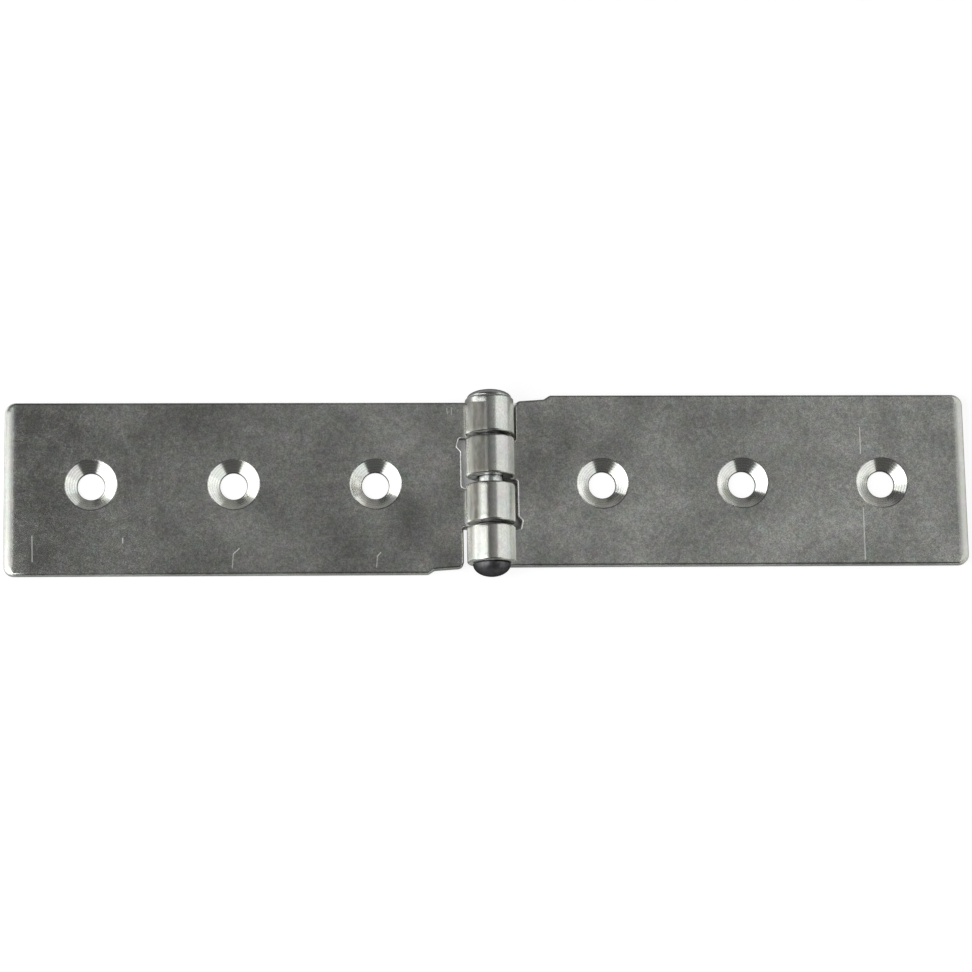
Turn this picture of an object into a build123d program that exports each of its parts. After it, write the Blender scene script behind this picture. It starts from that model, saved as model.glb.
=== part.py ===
from build123d import *
import os
from math import asin, cos, sin

# Strap hinge lying flat and open, barrel upwards. Both leaves are one stamping, used twice.
# X runs along the leaves and Y along the pin. Z = 0 is the plane that the leaves are screwed to.

# Sheet, pin and barrel
SHEET = 2.5
PIN_DIAMETER = 5.0
PIN_PLAY = 0.05
SEAM_GAP = 0.15

# Knuckles and gaps along the pin, from the middle outwards
MIDDLE_GAP = 1.7
INNER_KNUCKLE = 8.15
KNUCKLE_GAP = 0.7
END_KNUCKLE = 7.65

# Outline of a leaf, and its clearance from the barrel in the notch and beside the free corner
LEAF_REACH = 100.0
SIDE_OVERHANG = 1.5
LEAF_CORNER = 2.2
NOTCH_CLEARANCE = 0.85
FREE_CLEARANCE = 0.5
NOTCH_CORNER = 0.6

# Nick in the notch's edge at the root of the end knuckle
NICK_LENGTH = 2.75
NICK_DEPTH = 0.9
NICK_ROUNDING = 0.5

# Step that takes the free corner back towards the end of the barrel
STEP_START = 11.6
STEP_RAMP = 1.3
STEP_RISE = 0.65
CORNER_RISE = 0.25
STEP_BLEND = 0.8
FREE_CORNER = 1.3

# Broken edges of the back and the knuckles' outside, of the top, and the free end's rounded mill edge
BACK_EDGE = 0.5
TOP_EDGE = 0.35
END_ROUNDING = 1.1

# Countersunk screw holes in a row on the barrel's mid-line
HOLE_COUNT = 3
HOLE_DIAMETER = 5.6
SINK_DIAMETER = 10.6
HOLE_LAND = 0.4
FIRST_HOLE = 23.6
END_MARGIN = 17.8

# Heads of the pin: a dome at the near end, and a broader, flatter one riveted over at the far end
HEAD_DIAMETER = 7.8
HEAD_HEIGHT = 2.6
FAR_HEAD_DIAMETER = 9.2
FAR_HEAD_HEIGHT = 1.8
HEAD_GAP = 0.1

# Sizes that follow from those above
bore = PIN_DIAMETER / 2 + PIN_PLAY
barrel = bore + SHEET
inner_start = MIDDLE_GAP / 2
inner_end = inner_start + INNER_KNUCKLE
end_start = inner_end + KNUCKLE_GAP
barrel_half = end_start + END_KNUCKLE
free_side = barrel_half + SIDE_OVERHANG
notch_edge = barrel + NOTCH_CLEARANCE
free_edge = barrel + FREE_CLEARANCE
hole_pitch = (LEAF_REACH - END_MARGIN - FIRST_HOLE) / (HOLE_COUNT - 1)


def blank():
    """Outline of the flat leaf, with its two necks that run under the knuckles."""
    corners = [
        ((0, -barrel_half), 0),
        ((LEAF_REACH, -barrel_half), LEAF_CORNER),
        ((LEAF_REACH, free_side), LEAF_CORNER),
        ((STEP_START + STEP_RAMP, free_side), STEP_BLEND),
        ((STEP_START, barrel_half + STEP_RISE), STEP_BLEND),
        ((free_edge, barrel_half + CORNER_RISE), FREE_CORNER),
        ((free_edge, inner_end), NOTCH_CORNER),
        ((0, inner_end), 0),
        ((0, inner_start), 0),
        ((notch_edge, inner_start), NOTCH_CORNER),
        ((notch_edge, NICK_LENGTH - end_start), NICK_ROUNDING),
        ((notch_edge + NICK_DEPTH, 2 / 3 * NICK_LENGTH - end_start), NICK_ROUNDING),
        ((notch_edge + NICK_DEPTH / 2, -end_start), NICK_ROUNDING),
        ((0, -end_start), 0),
    ]
    outline = FilletPolyline(*[p for p, _ in corners], radius=[r for _, r in corners], close=True)
    return make_face(outline)


def knuckle(low, high):
    """The sheet rolled once round the pin between two places along it, open only at its seam."""
    centre = (0, barrel)
    seam = asin((SHEET + SEAM_GAP - barrel) / barrel)
    far = 2 * barrel
    mouth = make_face(
        Polyline(
            centre,
            (0, barrel - far),
            (far, barrel - far),
            (far * cos(seam), barrel + far * sin(seam)),
            close=True,
        )
    )
    section = Pos(*centre) * (Circle(barrel) - Circle(bore)) - mouth
    return Pos(0, high, 0) * extrude(Plane.XZ * section, amount=high - low)


def end_offcut():
    """What is missing round the free end, where the strip kept its rounded mill edge."""
    block = Pos(LEAF_REACH - END_ROUNDING + SHEET, SHEET / 2) * Rectangle(2 * SHEET, 2 * SHEET)
    strip = Pos(LEAF_REACH - 2 * SHEET, SHEET / 2) * Rectangle(4 * SHEET, SHEET)
    rounded = fillet(strip.vertices().group_by(Axis.X)[-1], END_ROUNDING)
    width = free_side + barrel_half
    return Pos(0, free_side, 0) * extrude(Plane.XZ * (block - rounded), amount=width)


def screw_holes():
    """Row of clearance holes, countersunk from the top down to a thin land."""
    upward = (Align.CENTER, Align.CENTER, Align.MIN)
    hole = Cylinder(HOLE_DIAMETER / 2, SHEET, align=upward)
    sink = Cone(HOLE_DIAMETER / 2, SINK_DIAMETER / 2, SHEET - HOLE_LAND, align=upward)
    cutter = hole + Pos(0, 0, HOLE_LAND) * sink
    return [Pos(FIRST_HOLE + i * hole_pitch, 0, 0) * cutter for i in range(HOLE_COUNT)]


def edges_at(leaf, height):
    """The leaf's edges that lie wholly at one height, which are its outline there."""
    boxes = [(edge, edge.bounding_box()) for edge in leaf.edges()]
    return [e for e, b in boxes if max(abs(b.min.Z - height), abs(b.max.Z - height)) < 1e-4]


def make_leaf():
    """The right-hand leaf: the blank, its rolled knuckles, the broken edges, then the holes."""
    end_knuckle = knuckle(-barrel_half, -end_start)
    inner_knuckle = knuckle(inner_start, inner_end)
    leaf = extrude(blank(), amount=SHEET) + end_knuckle + inner_knuckle
    leaf = chamfer(edges_at(leaf, 0), BACK_EDGE)
    leaf = chamfer(edges_at(leaf, SHEET), TOP_EDGE)
    return leaf - end_offcut() - screw_holes()


def pin_half(diameter, height):
    """The pin from its middle to one end, with the domed head there."""
    seat = barrel_half + HEAD_GAP
    rim = (diameter / 2, seat)
    crown = (0, seat + height)
    dome_radius = (rim[0] ** 2 + height**2) / (2 * height)
    shank = Polyline(crown, (0, 0), (PIN_DIAMETER / 2, 0), (PIN_DIAMETER / 2, seat), rim)
    return revolve(make_face(shank + RadiusArc(rim, crown, -dome_radius)), Axis.Y)


def make_pin():
    """Rod through every knuckle, with its two different heads."""
    near = Rot(180, 0, 0) * pin_half(HEAD_DIAMETER, HEAD_HEIGHT)
    far = pin_half(FAR_HEAD_DIAMETER, FAR_HEAD_HEIGHT)
    return Pos(0, 0, barrel) * (far + near)


right_leaf = make_leaf()
parts = {
    "left_leaf": Rot(0, 0, 180) * right_leaf,
    "right_leaf": right_leaf,
    "pin": make_pin(),
}

os.makedirs("parts", exist_ok=True)
for name, part in parts.items():
    export_step(part, f"parts/{name}.step")
    print(name, round(part.volume, 1), part.bounding_box().size)
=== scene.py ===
import math

import bpy
import numpy as np
from mathutils import Matrix, Quaternion, Vector
from mathutils.geometry import delaunay_2d_cdt


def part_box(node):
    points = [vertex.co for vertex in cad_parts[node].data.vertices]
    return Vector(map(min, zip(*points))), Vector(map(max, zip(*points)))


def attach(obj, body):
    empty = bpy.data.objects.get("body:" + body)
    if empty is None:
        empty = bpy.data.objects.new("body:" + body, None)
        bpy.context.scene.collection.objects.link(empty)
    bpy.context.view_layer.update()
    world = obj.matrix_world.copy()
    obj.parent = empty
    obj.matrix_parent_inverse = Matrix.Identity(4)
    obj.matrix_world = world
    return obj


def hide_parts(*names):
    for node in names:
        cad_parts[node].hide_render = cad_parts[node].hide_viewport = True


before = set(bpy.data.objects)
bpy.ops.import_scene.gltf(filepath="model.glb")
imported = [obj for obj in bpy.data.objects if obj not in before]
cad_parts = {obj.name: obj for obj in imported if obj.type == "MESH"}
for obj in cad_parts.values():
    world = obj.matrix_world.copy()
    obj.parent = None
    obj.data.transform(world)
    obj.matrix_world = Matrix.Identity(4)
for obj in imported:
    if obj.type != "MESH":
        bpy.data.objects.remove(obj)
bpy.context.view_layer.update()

# Leaf stamping: one piece of 2.5 mm steel strip, blanked with two tabs, drilled and countersunk.
# The tabs are rolled once round the pin, back outwards, and the whole is then zinc plated.
# It is worked out flat, as length, width and height above the back, and rolled at the end.
leaf_low, leaf_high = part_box("right_leaf")
SHEET = 0.0025
BARREL = leaf_high.z / 2
LEAF_REACH = leaf_high.x
JOINED_SIDE = -leaf_low.y
FREE_SIDE = leaf_high.y

# Outline of the flat blank
INNER_START = 0.00085
INNER_END = 0.009
END_START = 0.0097
NOTCH_EDGE = BARREL + 0.0007
FREE_EDGE = BARREL + 0.0005
ROLL_SWEEP = math.radians(298.4)
ROLL_LENGTH = ROLL_SWEEP * (BARREL - SHEET / 2)
STEP_START = 0.0116
STEP_END = 0.0129
STEP_RISE = 0.00065
CORNER_RISE = 0.00025
NICK = ((0, 0.00275), (0.0009, 0.00183), (0.00045, 0))
NICK_ROUNDING = 0.0005
TAB_CORNER = 0.0009
LEAF_CORNER = 0.0022
STEP_ROUNDING = 0.0008
FREE_CORNER = 0.0013
NOTCH_CORNER = 0.0006

# Section of its edge
BACK_EDGE = 0.0005
ROLLED_EDGE = 0.00045
ROLL_EASE = 0.004
TOP_EDGE = 0.00045
BURR_WIDTH = 0.0003
BURR_DROP = 0.00005
BURR_RISE = 0.00009
BURR_START = 0.003
BURR_NEAR = END_START + 0.0005
BURR_FAR = INNER_END + 0.0002
END_DROP = 0.0008
END_INSET = 0.0021
END_EASE = 0.0018
END_POWER = 2.5
EDGE_LEVEL = 0.0001

# Screw holes
HOLE_PLACES = (0.0236, 0.0529, 0.0822)
HOLE_RADIUS = 0.0028
SINK_RADIUS = 0.0053
HOLE_LAND = 0.0004
SINK_SLOPE = math.radians(38)
RIM_ROUNDING = 0.0002
LAND_ROUNDING = 0.00005

# Fineness of the mesh
ROLL_STEP = 0.00035
FLAT_STEP = 0.003
CORNER_STEP = math.radians(7)
EDGE_STEPS = 7
HOLE_STEPS = 120
RIM_STEPS = 5
TAB_COLUMNS = 7
TAB_MARGIN = 0.001
TAB_TIP_MARGIN = 0.0011


def blank_corners():
    """Corners of the flat blank with their radii, anticlockwise from the tip of the end tab."""
    nick = [((NOTCH_EDGE + x, y - END_START), NICK_ROUNDING) for x, y in NICK]
    return [
        ((-ROLL_LENGTH, -JOINED_SIDE), TAB_CORNER),
        ((0, -JOINED_SIDE), 0),
        ((LEAF_REACH, -JOINED_SIDE), LEAF_CORNER),
        ((LEAF_REACH, FREE_SIDE), LEAF_CORNER),
        ((STEP_END, FREE_SIDE), STEP_ROUNDING),
        ((STEP_START, JOINED_SIDE + STEP_RISE), STEP_ROUNDING),
        ((FREE_EDGE, JOINED_SIDE + CORNER_RISE), FREE_CORNER),
        ((FREE_EDGE, INNER_END), NOTCH_CORNER),
        ((0, INNER_END), 0),
        ((-ROLL_LENGTH, INNER_END), TAB_CORNER),
        ((-ROLL_LENGTH, INNER_START), TAB_CORNER),
        ((0, INNER_START), 0),
        ((NOTCH_EDGE, INNER_START), NOTCH_CORNER),
        *nick,
        ((0, -END_START), 0),
        ((-ROLL_LENGTH, -END_START), TAB_CORNER),
    ]


def walk_outline(corners):
    """Points along the outline and the heading there: straight stretches joined by an arc at each corner.

    An arc starts and ends at radius times the tangent of half the turn from its corner, and its
    centre lies one radius to the inner side of the path.
    """
    at = np.array([c for c, _ in corners])
    radius = np.array([r for _, r in corners])
    ahead = np.roll(at, -1, axis=0) - at
    heading = np.arctan2(ahead[:, 1], ahead[:, 0])
    before = np.roll(heading, 1)
    turn = (heading - before + np.pi) % (2 * np.pi) - np.pi
    trim = radius * np.tan(np.abs(turn) / 2)
    along = np.stack([np.cos(heading), np.sin(heading)], axis=1)
    places, headings = [], []
    for i in range(len(corners)):
        j = (i + 1) % len(corners)
        if radius[i] > 0:
            steps = max(3, int(abs(turn[i]) / CORNER_STEP))
            angle = before[i] + np.linspace(0, turn[i], steps + 1)
            side = np.sign(turn[i]) * radius[i]
            start = at[i] - np.roll(along, 1, axis=0)[i] * trim[i]
            centre = start + side * np.array([-math.sin(before[i]), math.cos(before[i])])
            places.append(centre + side * np.stack([np.sin(angle), -np.cos(angle)], axis=1))
            headings.append(angle)
        first, last = at[i] + along[i] * trim[i], at[j] - along[i] * trim[j]
        length = np.linalg.norm(last - first)
        step = ROLL_STEP if first[0] + last[0] < 0 else FLAT_STEP
        count = max(1, int(length / step))
        share = np.linspace(0, 1, count + 1)[int(radius[i] > 0):-1]
        places.append(first + np.outer(share, last - first))
        headings.append(np.full(len(share), heading[i]))
    return np.concatenate(places), np.concatenate(headings)


def beside_notch(place):
    """True for the outline points along the notches and the nick, where the shear left a burr."""
    along, across = place.T
    lengthwise = (along > BURR_START) & (along < STEP_START)
    return lengthwise & (across < BURR_FAR) & (across > -BURR_NEAR)


def edge_section(place):
    """Inward offset and height of the blank's edge at each outline point, from the top to the back.

    A narrow level margin, a quarter round at the top, the straight wall, and a quarter round at
    the back. At the free end the top one grows into a longer curve that starts flatter: one
    quarter of an oval with the power 2.5 in place of 2. Along the notches the top edge is a burr:
    it rises by the sine of twice the quarter's angle and ends just below the sheet's face.
    """
    near_end = np.clip((place[:, 0] - LEAF_REACH + LEAF_CORNER) / END_EASE, 0, 1)[:, None]
    in_roll = np.clip(-place[:, 0] / ROLL_EASE, 0, 1)[:, None]
    burred = beside_notch(place)[:, None]
    top_drop = np.where(burred, BURR_DROP, TOP_EDGE + (END_DROP - TOP_EDGE) * near_end)
    top_inset = np.where(burred, BURR_WIDTH, TOP_EDGE + (END_INSET - TOP_EDGE) * near_end)
    back = BACK_EDGE + (ROLLED_EDGE - BACK_EDGE) * in_roll
    quarter = np.linspace(0, np.pi / 2, EDGE_STEPS)
    round_fall = 1 - np.cos(quarter)
    oval_fall = 1 - (1 - np.sin(quarter) ** END_POWER) ** (1 / END_POWER)
    fall = round_fall + (oval_fall - round_fall) * near_end
    margin = top_inset + EDGE_LEVEL * (1 - 0.8 * near_end)
    offset = [margin, top_inset * (1 - np.sin(quarter)), back * (1 - np.cos(quarter))]
    burr = burred * BURR_RISE * np.sin(2 * quarter)
    level = np.full(margin.shape, SHEET)
    height = [level, SHEET - top_drop * fall + burr, back * (1 - np.sin(quarter))]
    return np.concatenate(offset, axis=1), np.concatenate(height, axis=1)


def hole_section():
    """Radius and height down a screw hole: a rounded rim, the countersink's cone, its throat and the land.

    The rim is an arc that turns from level to the slope of the cone, and the throat one that turns
    on to upright. The throat's radius is the one that makes the cone end on the land.
    """
    arc = np.linspace(0, SINK_SLOPE, RIM_STEPS)
    bend = RIM_ROUNDING / math.tan(SINK_SLOPE / 2)
    rim = SINK_RADIUS + RIM_ROUNDING - bend * np.sin(arc), SHEET - bend * (1 - np.cos(arc))
    arc = np.linspace(SINK_SLOPE, np.pi / 2, RIM_STEPS)
    spare = SHEET - HOLE_LAND - (SINK_RADIUS - HOLE_RADIUS) * math.tan(SINK_SLOPE)
    throat = spare / (math.cos(SINK_SLOPE) - (1 - math.sin(SINK_SLOPE)) * math.tan(SINK_SLOPE))
    inner = HOLE_RADIUS + throat * (1 - np.sin(arc)), HOLE_LAND + throat * np.cos(arc)
    radius = np.concatenate([rim[0], inner[0], [HOLE_RADIUS, HOLE_RADIUS + LAND_ROUNDING]])
    return radius, np.concatenate([rim[1], inner[1], [LAND_ROUNDING, 0]])


def tab_grid():
    """Points inside both tabs, in rows and columns, so that the rolled faces bend smoothly."""
    rows = np.arange(ROLL_STEP, ROLL_LENGTH - TAB_TIP_MARGIN, ROLL_STEP)
    columns = [
        np.linspace(low + TAB_MARGIN, high - TAB_MARGIN, TAB_COLUMNS)
        for low, high in ((-JOINED_SIDE, -END_START), (INNER_START, INNER_END))
    ]
    grid = np.meshgrid(-rows, np.concatenate(columns), indexing="ij")
    return np.stack([grid[0].ravel(), grid[1].ravel()], axis=1)


def rolled(points):
    """Flat places turned to real ones: what lies before the axis goes round it at its own radius.

    The angle round the barrel grows evenly with the distance before the axis, from straight below.
    """
    along, across, height = points.T
    angle = np.clip(-along, 0, None) / ROLL_LENGTH * ROLL_SWEEP
    radius = BARREL - height
    x = np.where(along < 0, -radius * np.sin(angle), along)
    z = np.where(along < 0, BARREL - radius * np.cos(angle), height)
    return np.stack([x, across, z], axis=1)


def filled(rim, holes, inside):
    """Triangles over the area within a rim, round its holes, with loose points inside, as indices."""
    loops = [rim, *holes]
    starts = np.cumsum([0] + [len(loop) for loop in loops])
    edges = []
    for start, loop in zip(starts, loops):
        ring = np.arange(len(loop))
        edges += np.stack([start + ring, start + np.roll(ring, -1)], axis=1).tolist()
    points = np.concatenate([*loops, inside])
    vectors = [Vector(point) for point in points.tolist()]
    _, _, faces, sources, _, _ = delaunay_2d_cdt(vectors, edges, [], 1, 1e-9)
    faces = np.array([given[0] for given in sources])[np.array(faces)]
    middle = points[faces].mean(axis=1)
    keep = np.ones(len(faces), bool)
    for hole in holes:
        centre = hole.mean(axis=0)
        reach = np.linalg.norm(hole[0] - centre)
        keep &= np.linalg.norm(middle - centre, axis=1) > reach * 0.999
    return faces[keep]


def strip_faces(start, rings, steps):
    """Quads between rings of points that are stored one whole section after another."""
    i, j = np.meshgrid(np.arange(rings), np.arange(steps - 1), indexing="ij")
    here = start + i * steps + j
    there = start + (i + 1) % rings * steps + j
    return np.stack([here + 1, there + 1, there, here], axis=-1).reshape(-1, 4)


def burr_of(place, steps):
    """Share of raw metal on the edge strip: full along the notches, less on the tabs' cut ends."""
    fade = np.zeros((2, steps))
    fade[0, 2:EDGE_STEPS + 1] = 1
    fade[1, EDGE_STEPS - 1:EDGE_STEPS + 3] = 0.8
    kind = np.stack([beside_notch(place), place[:, 0] < 0], axis=1)
    return (kind @ fade).ravel()


def leaf_points_and_faces():
    """The rim strip, the three hole walls and the filled top and back of one leaf."""
    place, heading = walk_outline(blank_corners())
    offset, height = edge_section(place)
    steps = height.shape[1]
    inward = np.stack([-np.sin(heading), np.cos(heading)], axis=1)
    strip = place[:, None, :] + inward[:, None, :] * offset[:, :, None]
    strip = np.concatenate([strip, height[:, :, None]], axis=2)
    points, faces = [strip.reshape(-1, 3)], [strip_faces(0, len(place), steps)]
    burr = burr_of(place, steps)
    top_ids = [np.arange(len(place)) * steps]
    back_ids = [top_ids[0] + steps - 1]
    total = len(points[0])
    radius, depth = hole_section()
    turn = -np.linspace(0, 2 * np.pi, HOLE_STEPS, endpoint=False)
    for centre in HOLE_PLACES:
        x = centre + np.outer(np.cos(turn), radius)
        y = np.outer(np.sin(turn), radius)
        z = np.broadcast_to(depth, x.shape)
        points.append(np.stack([x, y, z], axis=2).reshape(-1, 3))
        faces.append(strip_faces(total, HOLE_STEPS, len(radius)))
        top_ids.append(total + np.arange(HOLE_STEPS) * len(radius))
        back_ids.append(top_ids[-1] + len(radius) - 1)
        total += len(points[-1])
    grid = tab_grid()
    triangles = []
    for ids, level, order in ((top_ids, SHEET, (0, 1, 2)), (back_ids, 0, (0, 2, 1))):
        stored = np.concatenate(points)
        loops = [stored[i][:, :2] for i in ids]
        table = np.concatenate([*ids, total + np.arange(len(grid))])
        triangles.append(table[filled(loops[0], loops[1:], grid)][:, order])
        points.append(np.column_stack([grid, np.full(len(grid), level)]))
        total += len(grid)
    burr = np.concatenate([burr, np.zeros(total - len(burr))])
    return rolled(np.concatenate(points)), np.concatenate(faces), np.concatenate(triangles), burr


def mesh_object(name, points, quads, triangles):
    """A smooth-shaded object from arrays of points, quads and triangles."""
    mesh = bpy.data.meshes.new(name)
    mesh.from_pydata(points.tolist(), [], quads.tolist() + triangles.tolist())
    mesh.validate()
    mesh.polygons.foreach_set("use_smooth", np.ones(len(mesh.polygons), bool))
    piece = bpy.data.objects.new(name, mesh)
    bpy.context.scene.collection.objects.link(piece)
    weighted = piece.modifiers.new("Flat faces first", "WEIGHTED_NORMAL")
    weighted.keep_sharp = True
    return piece


def new_metal(name):
    """A new material, its node tree and its shader."""
    metal = bpy.data.materials.new(name)
    metal.use_nodes = True
    return metal, metal.node_tree, metal.node_tree.nodes["Principled BSDF"]


def add_node(tree, kind, setting=None, **values):
    """A shader node with its setting and inputs; a value that is another node's output is linked.

    An input goes by its label, with _ for a space, or by its number after a _.
    """
    node = tree.nodes.new("ShaderNode" + kind)
    for key, value in (setting or {}).items():
        setattr(node, key, value)
    for key, value in values.items():
        socket = node.inputs[int(key[1:]) if key[1:].isdigit() else key.replace("_", " ")]
        if isinstance(value, bpy.types.NodeSocket):
            tree.links.new(value, socket)
        else:
            socket.default_value = value
    return node


def maths(tree, how, *terms):
    """One arithmetic step with one to three values or outputs."""
    inputs = {f"_{i}": term for i, term in enumerate(terms)}
    return add_node(tree, "Math", {"operation": how}, **inputs).outputs[0]


def product(tree, first, *others):
    """Values or outputs multiplied together."""
    for other in others:
        first = maths(tree, "MULTIPLY", first, other)
    return first


def lifted(tree, share, gain, base=1):
    """A base that gains a given amount as the share goes from 0 to 1."""
    return maths(tree, "MULTIPLY_ADD", share, gain, base)


def ramp(tree, value, start, full, low=0, high=1, curve="LINEAR"):
    """A value that goes from low to high while another goes from start to full, and stays there."""
    limits = {"From_Min": start, "From_Max": full, "To_Min": low, "To_Max": high}
    return add_node(tree, "MapRange", {"interpolation_type": curve}, Value=value, **limits).outputs[0]


def vector_step(tree, how, a, b=(0, 0, 0)):
    """One step with two vectors; a distance, length or dot product comes out as a value."""
    node = add_node(tree, "VectorMath", {"operation": how}, _0=a, _1=b)
    return node.outputs["Value" if how in ("DISTANCE", "LENGTH", "DOT_PRODUCT") else "Vector"]


def scaled(tree, vector, scale):
    """A vector or colour times a value."""
    return add_node(tree, "VectorMath", {"operation": "SCALE"}, _0=vector, Scale=scale).outputs[0]


def noise(tree, place, scale, detail, roughness=0.5):
    """Outputs of a fractal noise: Fac is a value and Color three of them."""
    values = {"Vector": place, "Scale": scale, "Detail": detail, "Roughness": roughness}
    return add_node(tree, "TexNoise", **values).outputs


def speckle(tree, place, size, detail, share):
    """Noise of one grain size as a factor that swings round 1 by a share of the value."""
    grain = noise(tree, place, 1 / size, detail, 0.6)["Fac"]
    return lifted(tree, maths(tree, "SUBTRACT", grain, 0.5), share)


# Start and end of each scratch on the top face, and how raw it is
SCRATCHES = (
    ((-0.0941, -0.0107), (-0.0940, -0.0160), 0.6),
    ((-0.0756, -0.0112), (-0.0756, -0.0122), 0.8),
    ((-0.0532, -0.0175), (-0.0530, -0.0146), 0.5),
    ((-0.0530, -0.0146), (-0.0518, -0.0135), 0.7),
    ((-0.0236, -0.0175), (-0.0234, -0.0152), 0.5),
    ((-0.0234, -0.0152), (-0.0227, -0.0144), 0.7),
    ((-0.0077, 0.0162), (-0.0077, 0.0147), 0.5),
    ((-0.0087, 0.0160), (-0.0085, 0.0149), 0.5),
    ((0.0779, 0.0118), (0.0779, 0.0062), 0.8),
    ((0.0780, -0.0054), (0.0780, -0.0163), 0.8),
)
SCRATCH_WIDTH = (0.00004, 0.00016)


def scratch(tree, place, tail, tip, depth):
    """A fine straight scratch: full depth on the segment, fading out over a hair's breadth beside it."""
    run = Vector((tip[0] - tail[0], tip[1] - tail[1], 0))
    away = vector_step(tree, "SUBTRACT", place, (*tail, 0))
    level = vector_step(tree, "MULTIPLY", away, (1, 1, 0))
    share = vector_step(tree, "DOT_PRODUCT", level, run / run.length_squared)
    foot = scaled(tree, run, add_node(tree, "Clamp", Value=share).outputs[0])
    return ramp(tree, vector_step(tree, "DISTANCE", level, foot), *SCRATCH_WIDTH, depth, 0)


def from_nearest_hole(tree, place):
    """Distance from the axis of the nearest screw hole; the three stand at an even pitch either side."""
    pitch = HOLE_PLACES[1] - HOLE_PLACES[0]
    x, y, _ = add_node(tree, "SeparateXYZ", Vector=place).outputs
    along = maths(tree, "SUBTRACT", maths(tree, "ABSOLUTE", x), HOLE_PLACES[0] - pitch / 2)
    along = maths(tree, "SUBTRACT", maths(tree, "FLOORED_MODULO", along, pitch), pitch / 2)
    return vector_step(tree, "LENGTH", add_node(tree, "CombineXYZ", X=along, Y=y).outputs[0])


# Place along and across the hinge, radius and depth of each soft patch; below 0 it is a paler one
SMUDGES_AND_PAINTED_LIGHT = (
    (-0.0735, 0.0105, 0.0028, 0.18),
    (-0.0728, 0.0008, 0.0018, 0.2),
    (-0.0740, -0.0073, 0.0018, 0.16),
    (-0.0681, -0.0057, 0.0015, 0.18),
    (-0.0465, -0.0044, 0.0040, 0.18),
    (-0.0170, -0.0050, 0.0050, 0.2),
    (-0.0323, 0.0147, 0.0030, 0.16),
    (-0.0936, 0.0136, 0.0045, 0.2),
    (-0.0089, -0.0159, 0.0055, 0.24),
    (-0.0571, -0.0143, 0.0070, 0.14),
    (-0.0925, -0.0149, 0.0055, 0.28),
    (0.0112, -0.0160, 0.0080, 0.2),
    (0.0079, 0.0151, 0.0050, 0.16),
    # The last three are painted shade beside the barrel on the right leaf and a paler patch of painted
    # light on the left
    (0.0115, 0.0000, 0.0090, 0.14),
    (0.0115, 0.0100, 0.0080, 0.12),
    (-0.0120, 0.0020, 0.0110, -0.16),
)
PATCH_DRIFT = 0.0015


def smudges_and_painted_light(tree, place):
    """Factor for the soft patches, smudges and beside the barrel painted shade and light: each falls by
    its depth at the middle and is 1 from its radius on.

    Their outlines drift by up to 1.5 mm with a noise, so that none is round.
    """
    drift = scaled(tree, noise(tree, place, 500, 2)["Color"], 2 * PATCH_DRIFT)
    drift = vector_step(tree, "SUBTRACT", drift, (PATCH_DRIFT, PATCH_DRIFT, PATCH_DRIFT))
    place = vector_step(tree, "ADD", place, drift)
    shade = 1
    for x, y, radius, depth in SMUDGES_AND_PAINTED_LIGHT:
        away = vector_step(tree, "DISTANCE", place, (x, y, SHEET))
        shade = product(tree, ramp(tree, away, 0, radius, 1 - depth, 1, "SMOOTHSTEP"), shade)
    return shade


# Where each kind of surface starts and where it is full: by the distance from the pin's axis along the
# leaf, by the height above the back, or by the distance from the axis of a hole
FLAT = (0.005, 0.0064)
INLAND = (0.0985, 0.0976)
ABOVE_BACK = (0.0001, 0.0003)
ON_TOP = (0.0020, 0.0024)
OFF_BARREL = (0.0051, 0.0056)
LEFT_HALF = (0.001, -0.001)
TURNED = (SINK_RADIUS, SINK_RADIUS - 0.0002)
LAND = (HOLE_RADIUS + 0.0002, HOLE_RADIUS + 0.0001)

# Size and strength of the mottles, their share on the barrel and what the flats gain, and how much of
# the colour is a mixed tint; then where each band of painted light and shade starts, where it is full,
# and its tone: painted shade towards the far left end, a painted highlight on its edge, and painted
# shade towards the right end, a little less on its edge
MOTTLES = ((0.0003, 1.3), (0.0012, 0.8), (0.006, 0.6), (0.022, 1.3))
BARREL_MOTTLES = 0.3
FLAT_MOTTLES_GAIN = 0.7
TINT_SHARE = 0.12
PAINTED_LIGHT_BANDS = (
    (-0.078, -0.095, 0.78),
    (-0.0972, -0.0982, 1.33),
    (0.0975, 0.0985, 1.02),
    (0.084, 0.094, 0.95),
)

# Tone of the countersinks, their turned rings, and the dark land at the bottom, partly the metal's own
# dark and partly painted shade
TURNED_GAIN = 0.5
RING_PITCH = 0.0005
RING_TONE = 0.09
RING_LIFT = 0.0000008
LAND_SHADE = -0.75

# Dull film on the barrel's left half, whose darkening of the colour is painted shade: where it widens
# along the pin, how far its edge then stands off the crest and how softly it fades there, its edge towards
# the leaf, its ends, the far one on a slant, and the colour of its painted shade
FILM_SHADE_WIDENING = (-0.001, 0.001)
FILM_SHADE_CREST = (0.0021, 0.0005)
FILM_SHADE_FADE = 0.001
FILM_SHADE_ROOT = (-0.0047, -0.0035)
FILM_SHADE_NEAR_END = (-0.0094, -0.0086)
FILM_SHADE_FAR_END = (0.01794, 0.01782)
FILM_SHADE_SLANT = 0.2126
FILM_SHADE_COLOUR = (0.27, 0.26, 0.24, 1)

# Colour of raw metal, and the noise levels between which film and burrs thin out
RAW_COLOUR = (0.95, 0.95, 0.93, 1)
RAGGED = (0.35, 0.6)

# Height of the grain on the barrel, what the flats gain, and its share at the free ends
BARREL_GRAIN = 0.000006
FLAT_GRAIN_GAIN = 0.00001
END_GRAIN = 0.15

# Roughness to begin with, and what unevenness and each kind of surface add to it
PLAIN_DULL = 0.28
UNEVEN_DULL = 0.07
FLAT_DULL = -0.01
FILM_DULL = 0.25
INLAND_DULL = -0.08
TURNED_DULL = -0.05


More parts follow.
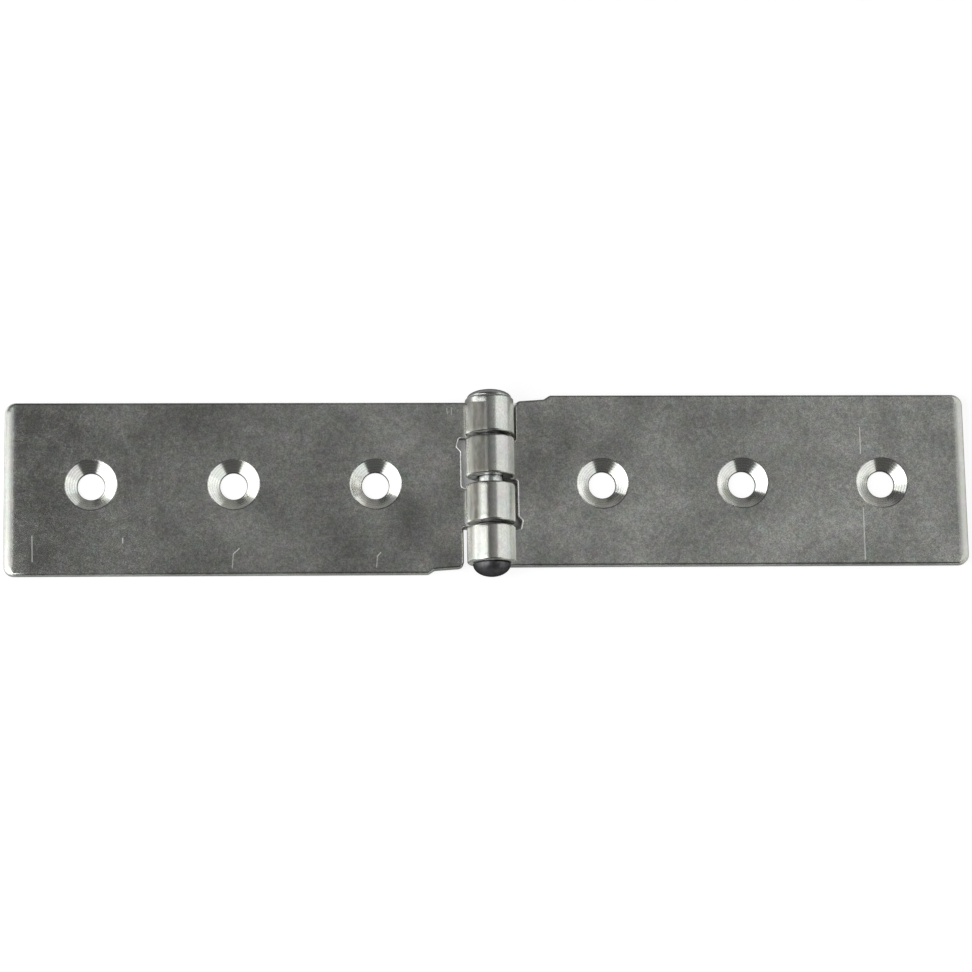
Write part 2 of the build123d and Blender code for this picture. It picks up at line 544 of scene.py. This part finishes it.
def film_and_painted_shade(tree, place, flat):
    """Share of the dull layer on the left half of the barrel, in streaks along the pin.

    It reaches nearly to the crest on the two far knuckles and is narrower on the inner near one.
    It makes the skin rougher, and where it darkens the colour, that is painted shade.
    """
    x, y, z = add_node(tree, "SeparateXYZ", Vector=place).outputs
    crest = ramp(tree, y, *FILM_SHADE_WIDENING, *FILM_SHADE_CREST)
    past_crest = product(tree, maths(tree, "ADD", x, crest), -1 / FILM_SHADE_FADE)
    streaks = vector_step(tree, "MULTIPLY", place, (1, 0.35, 1))
    return product(
        tree,
        add_node(tree, "Clamp", Value=past_crest).outputs[0],
        ramp(tree, x, *FILM_SHADE_ROOT),
        ramp(tree, y, *FILM_SHADE_NEAR_END),
        ramp(tree, lifted(tree, z, FILM_SHADE_SLANT, y), *FILM_SHADE_FAR_END),
        maths(tree, "SUBTRACT", 1, flat),
        ramp(tree, noise(tree, streaks, 1200, 3)["Fac"], *RAGGED, 0.85),
    )


def raw_metal(tree, place):
    """Share of raw, bright metal: the burrs, the left of the tabs' cut ends, and the scratches.

    The cut ends are raw only on the barrel's left half, so that their left part shows lighter than the
    right: painted light and shade.
    """
    x, _, z = add_node(tree, "SeparateXYZ", Vector=place).outputs
    off_barrel = ramp(tree, maths(tree, "ABSOLUTE", x), *OFF_BARREL)
    raw = product(
        tree,
        add_node(tree, "Attribute", {"attribute_name": "burr"}).outputs["Fac"],
        ramp(tree, noise(tree, place, 900, 2)["Fac"], *RAGGED, 0.25),
        maths(tree, "MAXIMUM", ramp(tree, x, *LEFT_HALF), off_barrel),
    )
    on_top = ramp(tree, z, *ON_TOP)
    for tail, tip, depth in SCRATCHES:
        cut = product(tree, scratch(tree, place, tail, tip, depth), on_top)
        raw = maths(tree, "MAXIMUM", raw, cut)
    return raw


def zinc_plating(name, colour):
    """Dull, slightly uneven zinc: grain, mottles and clouds multiply the colour, and grain lifts the skin.

    The rolled barrel is smoother than the flats, under a dull layer on its left half towards the far
    end that darkens the colour as painted shade. The countersinks are bare turned metal with fine rings,
    over a dark land that is partly painted shade. Bands of painted shade darken both ends of the leaf,
    with a painted highlight along the far left edge. Some clouds beside the barrel are painted shade
    and one is painted light. Scratches and burrs are raw and bright.
    """
    steel, tree, shader = new_metal(name)
    place = add_node(tree, "TexCoord").outputs["Object"]
    x, _, z = add_node(tree, "SeparateXYZ", Vector=place).outputs
    side = maths(tree, "ABSOLUTE", x)
    flat = ramp(tree, side, *FLAT)
    inland = ramp(tree, side, *INLAND)
    above_back = ramp(tree, z, *ABOVE_BACK)
    hole = from_nearest_hole(tree, place)
    turned = product(tree, ramp(tree, hole, *TURNED), above_back)
    unturned = maths(tree, "SUBTRACT", 1, turned)
    # The dark land at the foot of each hole is partly the metal's own dark and partly painted shade
    land = product(tree, ramp(tree, hole, *LAND), above_back)
    wave = maths(tree, "SINE", product(tree, hole, 2 * math.pi / RING_PITCH))
    rings = product(tree, wave, turned)
    # The dull film makes the skin rougher, and its darkening of the colour is painted shade
    film_shade = film_and_painted_shade(tree, place, flat)
    raw = raw_metal(tree, place)

    shade = product(tree, *[speckle(tree, place, size, 2, share) for size, share in MOTTLES])
    mottled = product(tree, flat, unturned, inland)
    mottled = lifted(tree, mottled, FLAT_MOTTLES_GAIN, BARREL_MOTTLES)
    shade = lifted(tree, mottled, maths(tree, "SUBTRACT", shade, 1))
    for share, gain in ((turned, TURNED_GAIN), (rings, RING_TONE), (land, LAND_SHADE)):
        shade = product(tree, shade, lifted(tree, share, gain))
    # Soft patches: smudges in the zinc, and beside the barrel painted shade and a paler patch of painted
    # light
    shade = product(tree, shade, smudges_and_painted_light(tree, place))
    # Bands of painted light and shade at the two ends of the leaf
    for start, full, share in PAINTED_LIGHT_BANDS:
        shade = product(tree, shade, ramp(tree, x, start, full, 1, share))
    tint = noise(tree, place, 350, 4)["Color"]
    hue = add_node(tree, "MixRGB", Fac=TINT_SHARE, Color1=colour, Color2=tint).outputs[0]
    # The film's darkening of the colour is painted shade
    film_shaded = {"Fac": film_shade, "Color1": hue, "Color2": FILM_SHADE_COLOUR}
    hue = add_node(tree, "MixRGB", {"blend_type": "MULTIPLY"}, **film_shaded).outputs[0]
    whole = add_node(tree, "MixRGB", Fac=raw, Color1=scaled(tree, hue, shade), Color2=RAW_COLOUR)
    tree.links.new(whole.outputs[0], shader.inputs["Base Color"])
    tree.links.new(maths(tree, "SUBTRACT", 1, raw), shader.inputs["Metallic"])

    dull = lifted(tree, noise(tree, place, 400, 4)["Fac"], UNEVEN_DULL, PLAIN_DULL)
    dull = lifted(tree, flat, FLAT_DULL, dull)
    dull = lifted(tree, film_shade, FILM_DULL, dull)
    dull = lifted(tree, inland, INLAND_DULL, dull)
    dull = lifted(tree, turned, TURNED_DULL, dull)
    tree.links.new(dull, shader.inputs["Roughness"])

    grain = product(
        tree,
        noise(tree, place, 1500, 3)["Fac"],
        lifted(tree, flat, FLAT_GRAIN_GAIN, BARREL_GRAIN),
        unturned,
        lifted(tree, inland, 1 - END_GRAIN, END_GRAIN),
    )
    relief = lifted(tree, rings, RING_LIFT, grain)
    skin = add_node(tree, "Bump", Strength=1, Distance=1, Height=relief)
    tree.links.new(skin.outputs[0], shader.inputs["Normal"])
    return steel


leaf_steel = zinc_plating("zinc_plated_steel", (0.618, 0.618, 0.582, 1))

points, quads, triangles, burr = leaf_points_and_faces()
half_turn = np.array([-1, -1, 1])
for name, body, leaf_points in (
    ("left_leaf_plate", "left_side", points * half_turn),
    ("right_leaf_plate", "right_side", points),
):
    leaf = mesh_object(name, leaf_points, quads, triangles)
    leaf.data.attributes.new("burr", "FLOAT", "POINT").data.foreach_set("value", burr)
    leaf.data.materials.append(leaf_steel)
    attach(leaf, body)
    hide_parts(name.removesuffix("_plate"))

# Pin: a solid steel rod through all the knuckles, with a domed head at the near end and a broader,
# flatter one riveted over at the far end. It is bright where it shows in the middle gap and round
# the riveted head, and dark on both crowns and along the shaft; where the shaft shows dark in the
# narrow gaps between the knuckles, that dark is painted shade.
pin_low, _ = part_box("pin")
PIN_PLAY = 0.00005
PIN_RADIUS = BARREL - SHEET - PIN_PLAY
HEAD_GAP = 0.0001
HEAD_SEAT = JOINED_SIDE + HEAD_GAP
NEAR_HEAD = (0.0039, -pin_low.y - HEAD_SEAT)
FAR_HEAD = (0.0046, 0.0018)
HEAD_LIP = 0.00004
UNDERSIDE_SHARE = 0.985
PIN_STEPS = 128
HEAD_STEPS = 24
BLOTCHES = (0.0007, 3, 1.3)
DARK_ROUGHNESS = 0.42
BRIGHT_ROUGHNESS = 0.24
GLANCING_TINT = (0.3, 0.3, 0.3, 1)
MIDDLE_GAP = (0.004, 0.002)
FAR_COLLAR = (0.017, 0.0172)
FAR_CROWN = (0.0187, 0.0185)


def head_profile(radius, height):
    """Radius and place along the pin from its middle to the crown of one head.

    The dome is a quarter of an ellipse from the head's rim to its crown, over a small lip.
    """
    angle = np.linspace(0, np.pi / 2, HEAD_STEPS)
    out = np.concatenate([[PIN_RADIUS, PIN_RADIUS, radius * UNDERSIDE_SHARE], radius * np.cos(angle)])
    dome = HEAD_SEAT + HEAD_LIP + (height - HEAD_LIP) * np.sin(angle)
    return out, np.concatenate([[0, HEAD_SEAT, HEAD_SEAT], dome])


def pin_points_and_faces():
    """The pin's profile from the near crown to the far one, turned once round its axis."""
    near_radius, near_place = head_profile(*NEAR_HEAD)
    far_radius, far_place = head_profile(*FAR_HEAD)
    radius = np.concatenate([near_radius[::-1], far_radius[1:]])
    along = np.concatenate([-near_place[::-1], far_place[1:]])
    turn = np.linspace(0, 2 * np.pi, PIN_STEPS, endpoint=False)
    x = np.outer(np.sin(turn), radius)
    z = BARREL + np.outer(np.cos(turn), radius)
    y = np.broadcast_to(along, x.shape)
    points = np.stack([x, y, z], axis=2).reshape(-1, 3)
    return points, strip_faces(0, PIN_STEPS, len(radius))[:, ::-1]


def pin_steel(name, bright, dark):
    """Bright zinc in the middle gap and round the far head; dark and blotchy on both crowns and along
    the shaft, where the dark in the narrow gaps between knuckles is painted shade.
    """
    steel, tree, shader = new_metal(name)
    place = add_node(tree, "TexCoord").outputs["Object"]
    along = add_node(tree, "SeparateXYZ", Vector=place).outputs["Y"]
    in_gap = ramp(tree, maths(tree, "ABSOLUTE", along), *MIDDLE_GAP)
    round_head = product(tree, ramp(tree, along, *FAR_COLLAR), ramp(tree, along, *FAR_CROWN))
    bare = maths(tree, "MAXIMUM", in_gap, round_head)
    coat = add_node(tree, "MixRGB", Fac=bare, Color1=dark, Color2=bright).outputs[0]
    whole = scaled(tree, coat, speckle(tree, place, *BLOTCHES))
    tree.links.new(whole, shader.inputs["Base Color"])
    shader.inputs["Metallic"].default_value = 1
    shader.inputs["Specular Tint"].default_value = GLANCING_TINT
    dull = ramp(tree, bare, 0, 1, DARK_ROUGHNESS, BRIGHT_ROUGHNESS)
    tree.links.new(dull, shader.inputs["Roughness"])
    return steel


pin = mesh_object("riveted_pin", *pin_points_and_faces(), np.zeros((0, 3), int))
pin.data.materials.append(pin_steel("pin_steel", (0.6, 0.61, 0.6, 1), (0.13, 0.13, 0.135, 1)))
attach(pin, "left_side")
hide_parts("pin")

# Studio: a plain white floor that curves up into a low wall all round, soft lamps at both sides
# and overhead, a dim room, and the camera that looks down at the hinge.
FLOOR_RADIUS = 2.2
WALL_RADIUS = 2.6
WALL_HEIGHT = 0.4
FLOOR_LEVEL = -0.00002
SWEEP_STEPS = 96
GREY_PAPER = (0.6, 0.6, 0.6, 1)
FAINT_PAPER = (0.3, 0.3, 0.3, 1)
PAPER_GLOW = 0.85
OPEN_SKY = (0.45, 0.25)
PAST_ENDS = (0.1, 0.101)
FAR_OFF = (0.12, 0.3)
LEFTWARD = (-0.55, -0.8, 0.25, 1)
RIGHTWARD = (0.55, 0.8, 0.25, 0.45)
ROOM_GREY = (0.075, 0.075, 0.075, 1)

# Middle, half size and shade of the two strips of floor under the barrel
SHADED_STRIPS = (
    ((-0.004, 0.0006), (0.004, 0.0099), 0.87),
    ((0.004, 0.0037), (0.004, 0.0141), 1),
)


def floor_points_and_faces():
    """Rings of the floor and its low wall: flat to a radius, then a quarter round, then upright."""
    angle = np.linspace(0, np.pi / 2, 12)
    bend = WALL_RADIUS - FLOOR_RADIUS
    radius = np.concatenate([[0.05, 0.5], FLOOR_RADIUS + bend * np.sin(angle), [WALL_RADIUS]])
    height = np.concatenate([[0, 0], bend * (1 - np.cos(angle)), [WALL_HEIGHT]]) + FLOOR_LEVEL
    turn = np.linspace(0, 2 * np.pi, SWEEP_STEPS, endpoint=False)
    x, y = np.outer(np.cos(turn), radius), np.outer(np.sin(turn), radius)
    rings = np.stack([x, y, np.broadcast_to(height, x.shape)], axis=2).reshape(-1, 3)
    inner = np.arange(SWEEP_STEPS) * len(radius)
    fan = np.stack([np.full(SWEEP_STEPS, len(rings)), inner, np.roll(inner, -1)], axis=1)
    points = np.concatenate([rings, [[0, 0, FLOOR_LEVEL]]])
    return points, strip_faces(0, SWEEP_STEPS, len(radius)), fan


def white_paper(name):
    """Matt paper that takes the light as grey, and shows as white to the camera.

    The metal mirrors it partly white where it lies far off or past the leaves' ends, most of all
    to the left. Under the barrel, where metal stands over it, it keeps its own shade.
    """
    paper = bpy.data.materials.new(name)
    paper.use_nodes = True
    tree = paper.node_tree
    tree.nodes.clear()
    ray = add_node(tree, "LightPath").outputs
    place = add_node(tree, "TexCoord").outputs["Object"]
    x, y, _ = add_node(tree, "SeparateXYZ", Vector=place).outputs

    under = 0
    for middle, half, shade in SHADED_STRIPS:
        within_x = maths(tree, "COMPARE", x, middle[0], half[0])
        within_y = maths(tree, "COMPARE", y, middle[1], half[1])
        under = maths(tree, "MAXIMUM", under, product(tree, within_x, within_y, shade))
    sky = add_node(tree, "AmbientOcclusion", {"samples": 4}, Distance=0.01).outputs["AO"]
    shaded = product(tree, under, ramp(tree, sky, *OPEN_SKY))
    looked_at = product(tree, ray["Is Camera Ray"], maths(tree, "SUBTRACT", 1, shaded))

    reach = vector_step(tree, "LENGTH", place)
    past_end = ramp(tree, maths(tree, "ABSOLUTE", x), *PAST_ENDS)
    far = maths(tree, "MAXIMUM", ramp(tree, reach, *FAR_OFF), past_end)
    bearing = maths(tree, "DIVIDE", x, reach)
    leftward = ramp(tree, bearing, *LEFTWARD)
    rightward = ramp(tree, bearing, *RIGHTWARD)
    sideways = maths(tree, "MAXIMUM", leftward, rightward)
    mirrored = maths(tree, "MAXIMUM", ray["Is Glossy Ray"], ray["Is Transmission Ray"])
    white = maths(tree, "MAXIMUM", looked_at, product(tree, mirrored, sideways, far))

    grey = add_node(tree, "BsdfDiffuse", Color=GREY_PAPER).outputs[0]
    faint = add_node(tree, "BsdfDiffuse", Color=FAINT_PAPER).outputs[0]
    glow = add_node(tree, "Emission", Strength=PAPER_GLOW).outputs[0]
    bright = add_node(tree, "AddShader", _0=faint, _1=glow).outputs[0]
    mixed = add_node(tree, "MixShader", Fac=white, _1=grey, _2=bright).outputs[0]
    add_node(tree, "OutputMaterial", Surface=mixed)
    return paper


floor = mesh_object("floor", *floor_points_and_faces())
floor.modifiers.clear()
floor.data.materials.append(white_paper("white_paper"))

world = bpy.data.worlds.new("dim_room")
bpy.context.scene.world = world
world.use_nodes = True
world.node_tree.nodes["Background"].inputs["Color"].default_value = ROOM_GREY


# Each lamp's upper and lower edge as X and Z, its reach along the pin, and its brightness
LAMP_COLOUR = (0.98, 1, 0.99)
LAMPS = (
    ("left_lamp", (-0.2, 0.5), (-0.44, 0.24), (-0.35, 0.098), 2.2),
    ("left_end_lamp", (-0.2, 0.5), (-0.44, 0.24), (0.132, 0.16), 2.2),
    ("left_low_lamp", (-0.98, 0.5), (-1.05, 0.03), (-0.1, 0.9), 1.45),
    ("left_front_lamp", (-0.9, 0.85), (-1.05, 0.05), (-1.7, -0.1), 1.2),
    ("right_lamp", (0.45, 0.95), (0.97, 0.26), (-0.15, 0.7), 1.01),
    ("right_low_lamp", (0.97, 0.25), (1.0, 0.02), (-0.15, 0.7), 0.7),
    ("right_back_lamp", (0.97, 0.45), (1.0, 0.02), (0.7, 2.3), 0.6),
    ("right_front_lamp", (0.9, 0.85), (1.0, 0.02), (-1.3, -0.15), 0.75),
    ("ceiling", (-0.12, 1.2), (0.45, 1.2), (-0.1, 0.7), 0.146),
    ("right_ceiling", (0.16, 1.19), (0.9, 1.19), (-0.1, 0.7), 0.1),
)


def soft_lamp(name, upper, lower, along, brightness):
    """A rectangular lamp between two edges along Y that faces the hinge.

    Its watts are its brightness times pi times its area.
    """
    upper, lower = Vector((upper[0], 0, upper[1])), Vector((lower[0], 0, lower[1]))
    middle = (upper + lower) / 2
    slope = upper - lower
    facing = Vector((slope.z, 0, -slope.x)).normalized()
    if facing.dot(middle) > 0:
        facing = -facing
    lamp = bpy.data.lights.new(name, "AREA")
    lamp.shape = "RECTANGLE"
    lamp.size, lamp.size_y = along[1] - along[0], slope.length
    lamp.energy = brightness * math.pi * lamp.size * lamp.size_y
    lamp.color = LAMP_COLOUR
    side = Vector((0, 1, 0))
    turn = Matrix((side, (-facing).cross(side), -facing)).transposed().to_4x4()
    middle.y = sum(along) / 2
    holder = bpy.data.objects.new(name, lamp)
    holder.matrix_world = Matrix.Translation(middle) @ turn
    bpy.context.scene.collection.objects.link(holder)


for lamp in LAMPS:
    soft_lamp(*lamp)

# Degrees that the camera stands to the left and towards the near end, and how it is turned and aimed
CAMERA_LEFTWARD = 4
CAMERA_TOWARDS = 12
CAMERA_ROLL = 0.18
CAMERA_DISTANCE = 0.7
CAMERA_LENS = 125.13
CAMERA_AIM = Vector((-0.00076, -0.0005, 0.0025))

camera_data = bpy.data.cameras.new("camera")
camera_data.lens = CAMERA_LENS
camera_data.clip_start = 0.01
camera = bpy.data.objects.new("camera", camera_data)
lean = [-math.tan(math.radians(angle)) for angle in (CAMERA_LEFTWARD, CAMERA_TOWARDS)]
back = Vector((*lean, 1)).normalized()
upward = back.cross(Vector((1, 0, 0))).normalized()
upward.rotate(Quaternion(back, math.radians(-CAMERA_ROLL)))
camera_turn = Matrix((upward.cross(back), upward, back)).transposed().to_4x4()
camera.matrix_world = Matrix.Translation(CAMERA_AIM + back * CAMERA_DISTANCE) @ camera_turn
bpy.context.scene.collection.objects.link(camera)
bpy.context.scene.camera = camera

bpy.context.scene.view_settings.view_transform = "Standard"
